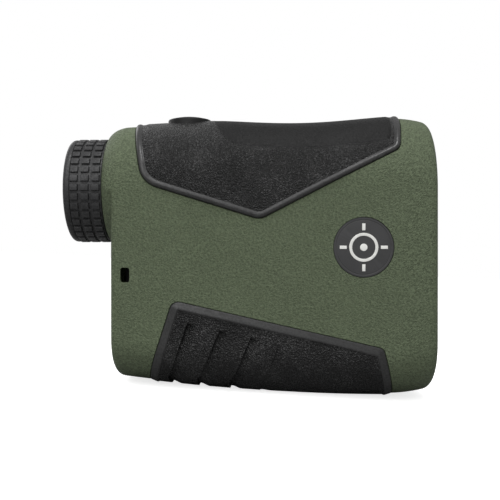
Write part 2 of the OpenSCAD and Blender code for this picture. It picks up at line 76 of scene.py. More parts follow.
def scoop_z(x):
    t = np.clip((x - SCOOP_X) / (CROWN_X - SCOOP_X), 0, 1)
    return SCOOP * np.sin(np.pi * t) ** 1.3


def top_z(x):
    return CROWN_Z - 0.0004 * np.minimum(x - CROWN_X, 0) ** 2 - 1.6 * past(x, CROWN_X, 10) - scoop_z(x)


def bottom_z(x):
    return BELLY_Z + 0.0009 * np.minimum(x - BELLY_X, 0) ** 2 + 1.7 * past(x, BELLY_X + 1, 12)


def side_y(x):
    return HALF_W - 1.2 * past(x, 38.3, 12)


def belly_h(x):
    return 12 + 2.5 * (x - REAR) / (FRONT - REAR)


def edge_in(d, r):
    """How far an edge rounded to radius r has drawn in, a distance d past where the rounding starts."""
    d = np.clip(d, 0, r)
    return r - np.sqrt(r * r - d * d)


def reach(x, phi, e):
    """Distance from the viewing axis, at angle phi from the crown, to the section at x grown by e."""
    x, phi, e = np.broadcast_arrays(x, phi, e)
    w, zt, zb = side_y(x) + e, top_z(x) + e, bottom_z(x) - e
    ht, hb = ARCH_H - scoop_z(x) + e, belly_h(x) + e
    low, high = np.zeros(x.shape), np.full(x.shape, 70.0)
    for _ in range(36):
        mid = (low + high) / 2
        y, z = mid * np.sin(phi), OPTIC_Z + mid * np.cos(phi)
        side = np.abs(y / w)
        over = np.clip((z - (zt - ht)) / ht, 0, None)
        under = np.clip((zb + hb - z) / hb, 0, None)
        q = np.where(over > 0, side ** 2 + over ** 2, side ** BELLY_POWER + under ** BELLY_POWER)
        low, high = np.where(q < 1, mid, low), np.where(q < 1, high, mid)
    return (low + high) / 2


def collar_reach(x, phi):
    """Distance from the viewing axis to the domed collar at x, at angle phi from the crown."""
    a = np.radians(np.arange(-90, 91, 1.0))
    s, c = np.sin(a), np.cos(a)
    lift = float(top_z(np.array(COLLAR_X))) - ARCH_H - OPTIC_Z
    under = np.where(s < 0, np.abs(s) ** 0.7, 0)
    foot_y = np.where(s >= 0, HALF_W * c, (COLLAR_LOW + (HALF_W - COLLAR_LOW) * (1 - under)) * c)
    foot_z = np.where(s >= 0, lift + ARCH_H * s, COLLAR_LOW * s + lift * (1 - under))
    t = np.clip((COLLAR_X - x) / (COLLAR_X - COLLAR_END), 0, 1)
    k = math.sqrt(1 - t * t)
    y = COLLAR_END_R * c * (1 - k) + foot_y * k
    z = COLLAR_END_R * s * (1 - k) + foot_z * k
    return np.interp(phi, np.arctan2(y, z)[::-1], np.hypot(y, z)[::-1])


def resample(line, count, spread):
    """A polyline's points placed again, closer together where it bends; spread weighs the bends."""
    d = np.hypot(*np.diff(line, axis=0).T)
    s = np.concatenate([[0], np.cumsum(d)])
    fine = np.linspace(0, s[-1], 500)
    p = np.stack([np.interp(fine, s, line[:, i]) for i in range(2)], 1)
    kernel = np.exp(-0.5 * (np.arange(-40, 41) * (s[-1] / 499) / 0.3) ** 2)
    kernel /= kernel.sum()
    padded = np.concatenate([2 * p[0] - p[40:0:-1], p, 2 * p[-1] - p[-2:-42:-1]])
    p = np.stack([np.convolve(padded[:, i], kernel, "valid") for i in range(2)], 1)
    turn = np.abs(np.gradient(np.unwrap(np.arctan2(*np.gradient(p, axis=0).T))))
    density = s[-1] / 499 + spread * turn
    where = np.concatenate([[0], np.cumsum((density[1:] + density[:-1]) / 2)])
    at = np.interp(np.linspace(0, where[-1], count), where, np.arange(500))
    return np.stack([np.interp(at, np.arange(500), p[:, i]) for i in range(2)], 1)


# ---------------------------------------------------------------- mesh helpers

def make(name, verts, faces, smooth=40, zones=None):
    """A new object from points, smooth but for edges sharper than smooth degrees; zones pick finishes."""
    mesh = bpy.data.meshes.new(name)
    mesh.from_pydata([tuple(v) for v in np.asarray(verts, float) * MM], [], [tuple(f) for f in faces])
    if zones is not None:
        mesh.polygons.foreach_set("material_index", zones)
    obj = bpy.data.objects.new(name, mesh)
    bpy.context.collection.objects.link(obj)
    tidy(obj, smooth)
    return obj


def tidy(obj, smooth=40):
    """Welds doubled points, turns the faces outward and sets the shading."""
    bm = bmesh.new()
    bm.from_mesh(obj.data)
    bmesh.ops.remove_doubles(bm, verts=bm.verts, dist=1e-6)
    bmesh.ops.delete(bm, geom=[e for e in bm.edges if not e.link_faces], context="EDGES")
    bmesh.ops.recalc_face_normals(bm, faces=bm.faces)
    if bm.calc_volume(signed=True) < 0:
        bmesh.ops.reverse_faces(bm, faces=bm.faces)
    for f in bm.faces:
        f.smooth = True
    for e in bm.edges:
        e.smooth = not (len(e.link_faces) == 2 and e.calc_face_angle() > math.radians(smooth))
    bm.to_mesh(obj.data)
    bm.free()


def grid_faces(rows, cols, close_rows=False, close_cols=False):
    """Quads over a rows by cols table of points, closed round either way if asked."""
    return [(i * cols + j, i * cols + (j + 1) % cols, (i + 1) % rows * cols + (j + 1) % cols,
             (i + 1) % rows * cols + j)
            for i in range(rows if close_rows else rows - 1) for j in range(cols if close_cols else cols - 1)]


def apply(obj, kind, **settings):
    """Adds a modifier, sets it and makes its result the object's mesh."""
    mod = obj.modifiers.new(kind.lower(), kind)
    for key, value in settings.items():
        setattr(mod, key, value)
    mesh = bpy.data.meshes.new_from_object(obj.evaluated_get(bpy.context.evaluated_depsgraph_get()))
    obj.modifiers.clear()
    obj.data = mesh
    return obj


def cut(obj, *tools):
    """Takes the tools' shapes out of obj, then deletes the tools."""
    for tool in tools:
        apply(obj, "BOOLEAN", object=tool, operation="DIFFERENCE", solver="EXACT")
        bpy.data.objects.remove(tool)
    tidy(obj)
    return obj


def revolve(name, profile, sides=96, smooth=40):
    """Turns a closed profile of (x, r) points about the X axis; the caller moves it into place."""
    a = np.linspace(0, 2 * np.pi, sides, endpoint=False)
    verts = [(x, r * math.sin(t), r * math.cos(t)) for x, r in profile for t in a]
    return make(name, verts, grid_faces(len(profile), sides, close_rows=True, close_cols=True), smooth)


def place(obj, at, axis="X"):
    """Moves a turned mesh's own points so that its X axis points along axis, from the point at."""
    turn = {"X": np.eye(3), "Y": np.array([[0, -1, 0], [1, 0, 0], [0, 0, 1.0]]),
            "-Y": np.array([[0, 1, 0], [-1, 0, 0], [0, 0, 1.0]]),
            "Z": np.array([[0, 0, -1], [0, 1, 0], [1, 0, 0.0]])}[axis]
    for v in obj.data.vertices:
        v.co = Vector(turn @ np.array(v.co) + np.array(at) * MM)
    return obj


def rounded(corners, step=0.35):
    """A closed outline through (x, z, radius) corners, with round corners and points about step apart."""
    pts = [np.array(c[:2], float) for c in corners]
    out = []
    for i, (_, _, r) in enumerate(corners):
        q, a, b = pts[i], pts[i - 1] - pts[i], pts[(i + 1) % len(pts)] - pts[i]
        a, b = a / np.linalg.norm(a), b / np.linalg.norm(b)
        half = math.acos(float(np.clip(a @ b, -1, 1))) / 2
        if r == 0:
            out.append(q)
            continue
        centre = q + (a + b) / np.linalg.norm(a + b) * r / math.sin(half)
        p0, p1 = q + a * r / math.tan(half) - centre, q + b * r / math.tan(half) - centre
        t0, t1 = math.atan2(p0[1], p0[0]), math.atan2(p1[1], p1[0])
        turn = (t1 - t0 + math.pi) % (2 * math.pi) - math.pi
        n = max(3, int(abs(turn) * r / step))
        out += [centre + r * np.array([math.cos(t0 + turn * k / n), math.sin(t0 + turn * k / n)])
                for k in range(n + 1)]
    return np.array(out)


def even(line, step, closed=True):
    """A polyline's points placed again at even steps."""
    p = np.vstack([line, line[:1]]) if closed else line
    s = np.concatenate([[0], np.cumsum(np.hypot(*np.diff(p, axis=0).T))])
    n = max(8, int(round(s[-1] / step)))
    at = np.linspace(0, s[-1], n, endpoint=not closed)
    return np.stack([np.interp(at, s, p[:, i]) for i in range(2)], 1)


def inset(line, d):
    """A closed, evenly placed outline moved inward by d."""
    t = np.roll(line, -1, 0) - np.roll(line, 1, 0)
    t /= np.linalg.norm(t, axis=1)[:, None]
    area = np.sum(line[:, 0] * np.roll(line[:, 1], -1) - np.roll(line[:, 0], -1) * line[:, 1])
    normal = np.stack([-t[:, 1], t[:, 0]], 1) * (1 if area > 0 else -1)
    return line + normal * d


def distance_to(points, line):
    """Distance from each point to the nearest corner of a dense closed outline."""
    out = np.empty(len(points))
    for i in range(0, len(points), 500):
        part = points[i:i + 500, None, :] - line[None, :, :]
        out[i:i + 500] = np.sqrt((part ** 2).sum(2).min(1))
    return out


def inside(points, line):
    """Which points lie within a closed outline."""
    x, y = points[:, 0:1], points[:, 1:2]
    a, b = line, np.roll(line, -1, 0)
    crosses = (a[:, 1] > y) != (b[:, 1] > y)
    with np.errstate(divide="ignore", invalid="ignore"):
        at = a[:, 0] + (y - a[:, 1]) / (b[:, 1] - a[:, 1]) * (b[:, 0] - a[:, 0])
    return (crosses & (x < at)).sum(1) % 2 == 1


# ---------------------------------------------------------------- the rubber grips

def top_point(x, s, h):
    """Point on the upper housing: s runs down from the crown on either side, h is the height over it."""
    quarter = 31.0
    a = np.clip(np.abs(s) / quarter, 0, 1) * np.pi / 2
    w, ht = side_y(x) + h, ARCH_H - scoop_z(x) + h
    y = w * np.sin(a) * np.sign(s)
    z = top_z(x) + h - ht + ht * np.cos(a) - np.clip(np.abs(s) - quarter, 0, None)
    return np.stack([x, y, z], -1)


def top_s(x, z):
    """How far down from the crown the height z is, on the grip's outer face."""
    quarter = 31.0
    ht = ARCH_H - scoop_z(x) + 0.5
    zc = top_z(x) + 0.5 - ht
    c = np.clip((z - zc) / ht, 0, 1)
    return np.where(z >= zc, np.arccos(c) / (np.pi / 2) * quarter, quarter + zc - z)


BELLY_QUARTER = 26.0
_arc = np.linspace(0, np.pi / 2, 400)
_belly = np.stack([20.5 * np.sin(_arc) ** (2 / BELLY_POWER), 12 * (1 - np.cos(_arc) ** (2 / BELLY_POWER))])
_run = np.concatenate([[0], np.cumsum(np.hypot(*np.diff(_belly)))])
_run /= _run[-1]


def belly_point(x, s, h):
    """Point on the lower housing: s runs up from the middle of the belly on either side."""
    a = np.interp(np.clip(np.abs(s) / BELLY_QUARTER, 0, 1), _run, _arc)
    w, hb = side_y(x) + h, belly_h(x) + h
    y = w * np.sin(a) ** (2 / BELLY_POWER) * np.sign(s)
    z = bottom_z(x) - h + hb * (1 - np.cos(a) ** (2 / BELLY_POWER))
    z = z + np.clip(np.abs(s) - BELLY_QUARTER, 0, None)
    return np.stack([x, y, z], -1)


def belly_s(x, z):
    hb = belly_h(x) + 0.5
    zc = bottom_z(x) - 0.5 + hb
    share = np.clip((zc - z) / hb, 0, 1)
    a = np.arccos(share ** (BELLY_POWER / 2))
    return np.where(z <= zc, np.interp(a, _arc, _run) * BELLY_QUARTER, BELLY_QUARTER + z - zc)


def both_sides(side_line, to_s, edge_z):
    """The grip's outline unrolled flat: the right-hand side from its side view, mirrored on the left."""
    dense = even(side_line, 0.1)
    keep = edge_z(dense[:, 0], dense[:, 1])
    start = int(np.argmax(~keep & np.roll(keep, -1))) + 1
    dense = np.roll(dense, -start, 0)[:keep.sum()]
    half = np.stack([dense[:, 0], to_s(dense[:, 0], dense[:, 1])], 1)
    half = np.vstack([[half[0, 0], 0], half, [half[-1, 0], 0]])
    loop = np.vstack([half * [1, -1], half[-2:0:-1]])
    return even(loop, 0.45)


LINE_BREAK = 0.6


def grip(loop, point, profile, smooth_rows, relief, step, lines=(), zone=None, under=-0.85):
    """A closed rubber skin: rings follow its edge in by profile, (distance in, height), then an even infill.

    The infill keeps to the feature lines given. The first smooth_rows rings take finish 1, and zone(x, s)
    says where the infill takes finish 2.
    """
    rings = [inset(loop, d) for d, _ in profile]
    heights = [np.full(len(loop), h) for _, h in profile]
    edge = rings[-1]
    low, high = edge.min(0), edge.max(0)
    gx, gs = np.meshgrid(np.arange(low[0], high[0], step), np.arange(low[1], high[1], step * 0.9))
    gx = gx + (np.arange(gx.shape[0]) % 2)[:, None] * step / 2
    field = np.stack([gx.ravel(), gs.ravel()], 1)
    field = field[inside(field, edge)]
    field = field[distance_to(field, edge) > step * 0.6]
    n = len(loop)
    base = n * (len(rings) - 1)
    known = [edge]
    for line in lines:
        line = line[inside(line, edge)]
        line = line[distance_to(line, edge) > step * 0.5]
        field = field[distance_to(field, line) > step * 0.55]
        known.append(line)
    flat = [Vector(p) for p in np.vstack(known + [field])]
    sides = [(i, (i + 1) % n) for i in range(n)]
    at = n
    for line in known[1:]:
        sides += [(at + i, at + i + 1) for i in range(len(line) - 1)
                  if np.hypot(*(line[i + 1] - line[i])) < LINE_BREAK]
        at += len(line)
    found = geometry.delaunay_2d_cdt(flat, sides, [], 1, 1e-7)
    fill = [tuple(int(k) + base for k in f) for f in found[2]]
    xs = np.vstack(rings[:-1] + [np.array([tuple(v) for v in found[0]])])
    hs = np.concatenate(heights[:-1] + [np.full(len(found[0]), profile[-1][1])])
    inner = np.clip(distance_to(xs, edge) / 0.8, 0, 1)
    inner[:base] = 0
    hs += relief(xs[:, 0], xs[:, 1], inner)
    total = len(xs)
    top = point(xs[:, 0], xs[:, 1], hs)
    back = point(xs[:, 0], xs[:, 1], np.full(total, under))
    faces = grid_faces(len(rings), n, close_cols=True)
    zones = [1] * (smooth_rows * n) + [0] * (len(faces) - smooth_rows * n)
    if zone:
        zones += [2 if zone(*xs[list(f)].mean(0)) else 0 for f in fill]
    else:
        zones += [0] * len(fill)
    faces += fill
    zones += [0] * len(faces) + [1] * n
    faces += [tuple(k + total for k in reversed(f)) for f in faces]
    faces += [(i, (i + 1) % n, (i + 1) % n + total, i + total) for i in range(n)]
    return top, back, faces, zones


TOP_EDGE = ((-33.6, 82, 0), (-30.9, 74.4, 3), (-27.4, 58.2, 7), (3.4, 48.6, 4), (40.1, 67.5, 3),
            (42.1, 82, 0))
BELLY_EDGE = ((-29.2, -3, 0), (-19.4, 27.4, 2.2), (35.4, 15, 1.5), (40.2, -3, 0))
BEAD = ((0, -0.1), (0.02, 0.16), (0.1, 0.34), (0.24, 0.5), (0.46, 0.62), (0.76, 0.68), (1.05, 0.66),
        (1.3, 0.56), (1.5, 0.46), (1.66, 0.4), (1.85, 0.38), (2.1, 0.4), (2.5, 0.43))
CHAMFER = ((0, -0.1), (0.02, 0.02), (0.12, 0.13), (0.5, 0.24), (1.0, 0.39), (1.5, 0.53), (1.78, 0.58),
           (1.9, 0.55), (2.0, 0.42), (2.1, 0.38), (2.4, 0.38))
BEAD_ROWS, CHAMFER_ROWS = 9, 9
REST_X = -10.0


def rest_share(x):
    """0 to 1 along the finger rest on the crown, from just in front of the button to the front bead."""
    return np.clip((x - SCOOP_X) / (CROWN_X + 1 - SCOOP_X), 0, 1)


def crease_s(x):
    """How far down from the crown the crease at the side of the finger rest lies."""
    start = np.clip((x - REST_X) / 9, 0, 1)
    return (17.0 + 2.0 * np.sin(np.pi * rest_share(x))) * np.sqrt(1 - (1 - start) ** 2)


def crown_relief(x, s, inner):
    """The steeper flank of the finger rest, the crease below it, and a crown flush with the bead."""
    along = np.clip((x - SCOOP_X) / 5, 0, 1)
    along = along * along * (3 - 2 * along)
    gap = crease_s(x) - np.abs(s)
    flank = np.where(gap > 0, np.clip(1 - gap / 9, 0, 1) ** 1.5, np.clip(1 + gap / 2.2, 0, 1) ** 1.3)
    flush = np.clip((15 - np.abs(s)) / 6, 0, 1)
    button = np.clip((np.hypot(x - POWER_X, s) - POWER_R - 0.2) / 0.5, 0, 1)
    return (0.2 * flush * flush * (3 - 2 * flush) - 0.95 * along * flank - 0.25 * (1 - button)) * inner


GROOVES = ((-21.3, 0.343, 0.75), (-13.6, 0.417, 0.75), (-4.9, 0.417, 0.75), (3.3, 0.4, 0.25))
GROOVE_STRAIGHT = 15.0


def groove_line(x0, slope, s):
    """Where along the body a finger groove's steep side lies, at s up from the middle of the belly."""
    return x0 + slope * np.clip(np.abs(s) - GROOVE_STRAIGHT, 0, None)


def finger_relief(x, s, inner):
    """Finger grooves that slant with the rear edge: steep on the rear side, easy on the front side."""
    out = np.zeros(x.shape)
    top = belly_s(x, 26.9 - 0.2272 * (x + 17.1)) - 4.9
    fade = np.clip((top - np.abs(s)) / 0.6, 0, 1)
    for x0, slope, deep in GROOVES:
        u = x - groove_line(x0, slope, s)
        rear = np.clip(u / 0.25, 0, 1)
        front = np.clip((3.1 - u) / 2.7, 0, 1)
        out -= deep * rear * front * front * (3 - 2 * front) * fade
    return out * inner


def top_loop():
    return both_sides(rounded(TOP_EDGE), top_s, lambda x, z: z < top_z(x) + 0.45)


def belly_loop():
    return both_sides(rounded(BELLY_EDGE), belly_s, lambda x, z: z > bottom_z(x) - 0.4)


def make_top_grip():
    xs = REST_X + np.concatenate([np.linspace(0, 1, 14) ** 2 * 3, np.arange(3.3, 52, 0.35)])
    half = np.stack([xs, crease_s(xs)], 1)
    lines = [np.vstack([(half * [1, -1])[:0:-1], half])]

    def on_rest(x, s):
        return x > REST_X and abs(s) < crease_s(x)

    top, back, faces, zones = grip(top_loop(), top_point, BEAD, BEAD_ROWS, crown_relief, 0.7, lines, on_rest)
    obj = make("grip_top", np.vstack([top, back]), faces, 60, zones)
    return cut(obj, plug("button_hole", POWER_R + 0.3, 70, 82, (POWER_X, 0, 0), "Z"))


def make_bottom_grip():
    s = np.arange(-40, 40, 0.35)
    lines = [np.stack([groove_line(x0, slope, s) + d, s], 1) for x0, slope, _ in GROOVES for d in (0, 0.25)]
    top, back, faces, zones = grip(belly_loop(), belly_point, CHAMFER, CHAMFER_ROWS, finger_relief, 0.55,
                                   lines)
    sole = SOLE_RISE * (SOLE_X - top[:, 0])
    top[:, 2] = np.maximum(top[:, 2], sole)
    back[:, 2] = np.maximum(back[:, 2], sole + 0.3)
    return make("grip_bottom", np.vstack([top, back]), faces, 30, zones)


# ---------------------------------------------------------------- the housing shells

AROUND = 150
TAIL = 96


def side_angles():
    """Angles from the crown down one side, evenly spaced along the housing's outline."""
    fine = np.linspace(0, np.pi, 2000)
    r = reach(5.0, fine, 0.0)
    p = np.stack([r * np.sin(fine), r * np.cos(fine)], 1)
    s = np.concatenate([[0], np.cumsum(np.hypot(*np.diff(p, axis=0).T))])
    return np.interp(np.linspace(0, s[-1], AROUND), s, fine)


def tail(phi):
    """The shell's profile at one angle from the body's end, over its rear face and collar, to the bore."""
    x1 = np.linspace(-32.6, REAR, 50)
    body = reach(x1, phi, -edge_in(REAR + REAR_ROUND - x1, REAR_ROUND))
    neck1 = np.array([collar_reach(x, phi) if x < COLLAR_X else 0 for x in x1])
    x2 = np.linspace(REAR, COLLAR_END, 40)
    neck2 = np.array([collar_reach(x, phi) for x in x2])
    line = np.concatenate([
        np.stack([x1, np.maximum(body, neck1)], 1), np.stack([x2, neck2], 1),
        [[COLLAR_END, 13.2], [COLLAR_END, BARREL_BORE], [COLLAR_END + 1.6, BARREL_BORE]]])
    return resample(line, TAIL, 1.2)


def make_shell(side):
    """One half of the housing as a thin shell, side -1 on the right and 1 on the left, still uncut."""
    phis = side_angles()
    lip = [(FRONT - 6, -MOUTH), (FRONT - 3, -MOUTH), (FRONT - 1.2, -MOUTH), (FRONT - 0.7, -MOUTH + 0.05),
           (FRONT - 0.3, -MOUTH + 0.2), (FRONT - 0.08, -MOUTH + 0.45), (FRONT, -MOUTH + 0.8)]
    edge = [(FRONT - FRONT_ROUND * (1 - math.cos(a)), -FRONT_ROUND * (1 - math.sin(a)))
            for a in np.linspace(0, np.pi / 2, 10)]
    run = [(x, 0.0) for x in np.arange(FRONT - FRONT_ROUND - 1, -32.6, -0.8)]
    front = np.array(lip + edge + run)
    rho = reach(front[:, 0][None, :], phis[:, None], front[:, 1][None, :])
    verts = []
    for i, phi in enumerate(phis):
        back = tail(phi)
        profile = np.vstack([np.stack([front[:, 0], rho[i]], 1), back])
        y = side * np.maximum(profile[:, 1] * math.sin(phi), SEAM)
        verts.append(np.stack([profile[:, 0], y, OPTIC_Z + profile[:, 1] * math.cos(phi)], 1))
    cols = len(verts[0])
    obj = make("shell_right" if side < 0 else "shell_left", np.vstack(verts), grid_faces(AROUND, cols))
    apply(obj, "SOLIDIFY", thickness=1.4 * MM, offset=-1)
    return obj


def pill(name, low, high, radius):
    """A box with rounded edges, as a cutter or a plain body, between two corners."""
    bm = bmesh.new()
    bmesh.ops.create_cube(bm, size=1)
    centre, size = (np.array(low) + np.array(high)) / 2, np.array(high) - np.array(low)
    for v in bm.verts:
        v.co = Vector((np.array(v.co) * size + centre) * MM)
    bmesh.ops.bevel(bm, geom=bm.edges[:], offset=radius * MM, segments=4, profile=0.5, affect="EDGES")
    mesh = bpy.data.meshes.new(name)
    bm.to_mesh(mesh)
    bm.free()
    obj = bpy.data.objects.new(name, mesh)
    bpy.context.collection.objects.link(obj)
    return obj


def plug(name, r, low, high, at, axis, sides=72):
    """A round cutter of radius r from low to high along axis, through the point at."""
    profile = [(low, 0), (low, r), (high, r), (high, 0)]
    a = np.linspace(0, 2 * np.pi, sides, endpoint=False)
    verts = [(x, rr * math.sin(t), rr * math.cos(t)) for x, rr in profile for t in a]
    return place(make(name, verts, grid_faces(4, sides, close_rows=True, close_cols=True)), at, axis)


def pocket(name, loop, point):
    """The cutter for the recess that a grip lies in, a little wider than the grip for the gap round it."""
    top, back, faces, _ = grip(inset(loop, -0.2), point, ((0, 0.7), (0.3, 0.7)), 0,
                               lambda x, s, inner: 0 * x, 1.6, under=-0.9)
    return make(name, np.vstack([top, back]), faces)


def cut_shell(shell, side):
    """The openings that both halves share, then the ones on that side."""
    tools = [
        pocket("pocket_top", top_loop(), top_point),
        pocket("pocket_belly", belly_loop(), belly_point),
        pill("door_way", (REAR - 2, -DOOR_W / 2 - 0.2, DOOR_LOW - 1.5),
             (REAR + 3, DOOR_W / 2 + 0.2, DOOR_HIGH + 0.25), 0.5),
        plug("badge_seat", BADGE_R + 0.12, -0.85, 2, (BADGE_X, side * HALF_W, BADGE_Z),
             "Y" if side > 0 else "-Y"),
        plug("power_way", POWER_R + 0.15, 60, 90, (POWER_X, 0, 0), "Z")]
    if side < 0:
        x0, x1, z0, z1 = SLOT
        tools.append(pill("slot_side", (x0, -HALF_W - 3, z0), (x1, -HALF_W + 5.5, z1), 0.6))
        tools.append(pill("slot_rear", (REAR - 3, -HALF_W + 3.1, z0), (x1, -HALF_W + 5.5, z1), 0.6))
    else:
        tools.append(plug("mode_way", MODE_R + 0.15, -6, 4, (MODE_X, HALF_W, MODE_Z), "Y"))
        tools.append(plug("screw_way", 2.2, -2.8, 2, (SCREW_X, HALF_W, SCREW_Z), "Y"))
    return cut(shell, *tools)


# ---------------------------------------------------------------- eyepiece

RING_BACK, RING_FRONT, RING_R, RISE = -48.1, -39.45, 14.65, 0.55
KNURLS, KNURL_W, KNURL_PITCH, KNURL_GAP = 36, 2.25, 2.95, 0.66


def bump(u, half):
    """Height of a bump, 0 to 1, a distance u from its middle: flat on top with softly rounded flanks."""
    t = np.clip((half - np.abs(u)) / 0.17, 0, 1)
    return np.sin(t * np.pi / 2)


def make_focus_ring():
    marks = (0, 0.03, 0.07, 0.11, 0.15, 0.2)
    step = 2 * np.pi * RING_R / KNURLS
    half = (step - KNURL_GAP) / 2
    across = sorted({-half + m for m in marks} | {half - m for m in marks} | {0.0, -step / 2})
    a = np.array([(k * step + u) / RING_R for k in range(KNURLS) for u in across])
    u = np.tile(across, KNURLS)
    xs, v = [RING_BACK, RING_BACK + 0.05], [9.0, 9.0]
    for i in range(3):
        low = RING_BACK + 0.1 + i * KNURL_PITCH
        for m in marks:
            xs.append(low + m)
            v.append(KNURL_W / 2 - m)
        xs.append(low + KNURL_W / 2)
        v.append(0)
        for m in reversed(marks):
            xs.append(low + KNURL_W - m)
            v.append(KNURL_W / 2 - m)
    xs += [RING_FRONT - 0.12, RING_FRONT]
    v += [9.0, 9.0]
    rows = []
    for x, w in zip(xs, v):
        r = RING_R - RISE + RISE * bump(u, half) * bump(np.array(w), KNURL_W / 2)
        if x == RING_FRONT:
            r = r - 0.12
        rows.append(np.stack([np.full(len(a), x), r * np.sin(a), OPTIC_Z + r * np.cos(a)], 1))
    for x, r in ((RING_FRONT, 12.7), (-46.9, 12.7), (-46.9, 13.7), (RING_BACK, 13.7)):
        rows.append(np.stack([np.full(len(a), x), r * np.sin(a), OPTIC_Z + r * np.cos(a)], 1))
    faces = grid_faces(len(rows), len(a), close_rows=True, close_cols=True)
    return make("ring_knurled", np.vstack(rows), faces, 50)


def dome(edge, top, r):
    """Corners of a shallow dome from its rim, at height edge and radius r, to its middle at height top."""
    big = (r * r + (top - edge) ** 2) / (2 * (top - edge))
    return [(top - big + math.sqrt(big * big - a * a), a, 0) for a in np.linspace(r, 0, 14)]


def turned(name, corners, at=(0, 0, OPTIC_Z), axis="X", sides=128, smooth=35):
    """A turned piece from (x, r, corner radius) corners."""
    return place(revolve(name, rounded(corners, 0.12), sides, smooth), at, axis)


def make_eyecup():
    return turned("eyecup_rim", (
        (RING_BACK - 0.02, 10, 0), (RING_BACK - 0.02, 14.42, 0.12), (-48.9, 14.5, 0.6),
        (-50, 14.3, 1.15), (-50, 12.4, 0.9), (RING_BACK - 0.9, 10, 0.3)))


# ---------------------------------------------------------------- controls, badges, door and front

def make_power_button():
    """Domed cap with a soft shoulder, a flange below and a hollow underside."""
    return turned("button_power", (
        (70.95, 4.8, 0), (70.95, 7.1, 0.15), (71.8, 7.1, 0.15), (71.8, POWER_R, 0.2), (77.6, POWER_R, 0.5),
        *dome(77.75, POWER_TOP, POWER_R - 0.7), (74.9, 0, 0), (74.9, 4.8, 0.3)), (POWER_X, 0, 0), "Z", 96, 60)


def make_mode_button():
    return turned("button_mode", (
        (-3.5, 0, 0), (-3.5, 5.4, 0.1), (-2.65, 5.4, 0.1), (-2.65, MODE_R, 0.1), (0, MODE_R, 0.35),
        *dome(0.05, 0.4, MODE_R - 0.6)), (MODE_X, HALF_W, MODE_Z), "Y", 72, 60)


def badge(side):
    """A disc with a softened rim and a fine ring turned in its face."""
    name = "badge_right" if side < 0 else "badge_left"
    return turned(name, (
        (-0.8, 0, 0), (-0.8, BADGE_R, 0.05), (-0.1, BADGE_R, 0.12), (-0.1, BADGE_R - 0.55, 0.06),
        (-0.17, BADGE_R - 0.62, 0.04), (-0.17, BADGE_R - 0.78, 0.04), (-0.12, BADGE_R - 0.85, 0.05),
        (-0.12, 0, 0)), (BADGE_X, side * HALF_W, BADGE_Z), "Y" if side > 0 else "-Y", 128, 50)


def join(name, *parts):
    """One object from several, with their meshes together."""
    bm = bmesh.new()
    for part in parts:
        bm.from_mesh(part.data)
        bpy.data.objects.remove(part)
    mesh = bpy.data.meshes.new(name)
    bm.to_mesh(mesh)
    bm.free()
    obj = bpy.data.objects.new(name, mesh)
    bpy.context.collection.objects.link(obj)
    tidy(obj)
    return obj


def mark(side):
    """The aiming mark laid in the badge: a ring, a dot in its middle and four ticks."""
    face = side * (HALF_W - 0.12)
    at, axis = (BADGE_X, face, BADGE_Z), "Y" if side > 0 else "-Y"
    ring = turned("mark_ring", ((0, 3.0, 0), (0, 3.75, 0), (0.1, 3.75, 0.03), (0.1, 3.0, 0.03)), at, axis,
                  96, 50)
    dot = turned("mark_dot", ((0, 0, 0), (0, 0.95, 0), (0.1, 0.95, 0.03), (0.1, 0, 0)), at, axis, 48, 50)
    ticks = []
    for dx, dz in ((1, 0), (-1, 0), (0, 1), (0, -1)):
        near, out, wide = 4.4, 6.2, 0.42
        x = sorted((dx * near - abs(dz) * wide, dx * out + abs(dz) * wide))
        z = sorted((dz * near - abs(dx) * wide, dz * out + abs(dx) * wide))
        y = sorted((face, face + side * 0.1))
        ticks.append(pill("mark_tick", (BADGE_X + x[0], y[0], BADGE_Z + z[0]),
                          (BADGE_X + x[1], y[1], BADGE_Z + z[1]), 0.03))
    return join("mark_right" if side < 0 else "mark_left", ring, dot, *ticks)


def make_door():
    """The battery door: a plate with soft edges, a hinge knuckle, grip ribs and a finger notch."""
    face = REAR + 0.2
    plate = pill("door_plate", (face, -DOOR_W / 2, DOOR_LOW), (face + 2, DOOR_W / 2, DOOR_HIGH), 0.45)
    knuckle = turned("door_knuckle", ((-DOOR_W / 2, 0.63, 0), (-DOOR_W / 2, 1.3, 0.15),
                                      (DOOR_W / 2, 1.3, 0.15), (DOOR_W / 2, 0.63, 0)),
                     (REAR + 1.4, 0, DOOR_LOW), "Y", 48)
    apply(plate, "BOOLEAN", object=knuckle, operation="UNION", solver="EXACT")
    bpy.data.objects.remove(knuckle)
    bore = plug("door_bore", 0.63, -DOOR_W, DOOR_W, (REAR + 1.4, 0, DOOR_LOW), "Y", 32)
    notch = pill("door_notch", (face - 1, -4, DOOR_HIGH - 1.2), (face + 0.6, 4, DOOR_HIGH + 2), 0.5)
    ribs = [pill("door_rib", (face - 1, -6, z), (face + 0.25, 6, z + 0.7), 0.2)
            for z in np.arange(DOOR_HIGH - 7.5, DOOR_HIGH - 2.5, 1.5)]
    obj = cut(plate, bore, notch, *ribs)
    obj.name = "door_battery"
    return obj


BEZEL_X, BEZEL_T = 43.5, 3.0
OBJECTIVE_R, LASER_R = 13.5, 10.3


